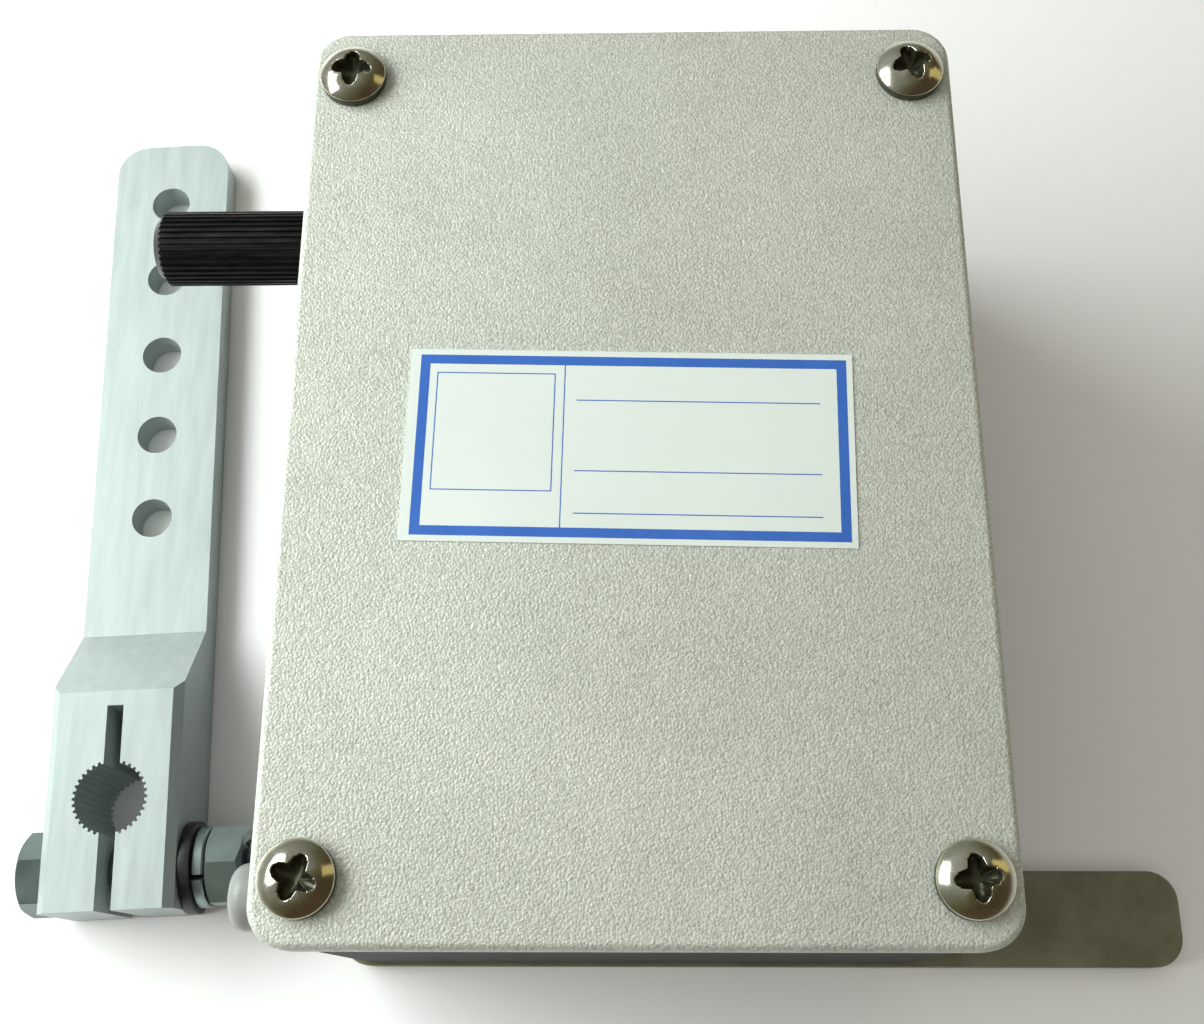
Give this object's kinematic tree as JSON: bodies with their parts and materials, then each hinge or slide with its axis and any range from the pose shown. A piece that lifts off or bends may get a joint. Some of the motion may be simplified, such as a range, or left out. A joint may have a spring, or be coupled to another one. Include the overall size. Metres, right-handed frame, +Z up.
{
  "type": "engine governor actuator",
  "caption": "Rotary electromagnetic actuator in a cast case with a serrated, spring-returned output shaft and a loose split-clamp lever lying beside it.",
  "frame": {"origin": "centre of the case's footprint on the underside of the mounting plate", "axes": "+Z up through the cover, -X along the output shaft towards its free end, +Y towards the end of the case that has the shaft"},
  "size_m": [0.1579, 0.1291, 0.058],
  "materials": {
    "cast_case": "as cast",
    "cast_cover": "pebble-grained, blasted",
    "gasket": "matt",
    "plated_screw": "yellow-tinted zinc plate",
    "dark_steel": "dull rolled steel",
    "zinc_steel": "zinc plate",
    "black_steel": "black oxide",
    "seal_rubber": "matt",
    "spring_steel": "phosphated",
    "bearing_steel": "ground",
    "core_iron": "ground laminations",
    "former_plastic": "moulded",
    "copper_wire": "enamelled copper wire",
    "collar_steel": "turned",
    "grey_plastic": "smooth moulded",
    "lead_cover": "insulated wire",
    "lever_aluminium": "satin, bare",
    "dark_washer": "blackened"
  },
  "bodies": {
    "case": {"case": "cast_case", "cover": "cast_cover", "cover_gasket": "gasket", "cover_screws": "plated_screw", "mounting_plate": "dark_steel", "plate_screws": "zinc_steel", "shaft_seal": "seal_rubber", "bearing_left_outer": "bearing_steel", "bearing_left_balls": "bearing_steel", "bearing_right_outer": "bearing_steel", "bearing_right_balls": "bearing_steel", "magnet_core": "core_iron", "coil_former": "former_plastic", "coil_winding": "copper_wire", "core_screws": "zinc_steel", "yoke_screws": "zinc_steel", "return_spring": "spring_steel", "cable_gland": "grey_plastic", "coil_leads": "lead_cover", "lever": "lever_aluminium", "clamp_bolt": "zinc_steel", "clamp_washer": "dark_washer", "clamp_lock_washer": "zinc_steel", "clamp_nut": "zinc_steel"},
    "rotor": {"output_shaft": "black_steel", "retaining_rings": "spring_steel", "bearing_left_inner": "bearing_steel", "bearing_right_inner": "bearing_steel", "armature": "core_iron", "armature_pin": "spring_steel", "stop_collar": "collar_steel"}
  },
  "joints": [
    {"name": "shaft_turn", "type": "hinge", "parent": "case", "child": "rotor", "pos_m": [0, 0.0364, 0.035], "axis": [1, 0, 0], "range_deg": [0, 30], "stiffness_Nm_per_rad": 0.25, "springref_deg": -20.05, "deforming": ["return_spring"]}
  ]
}
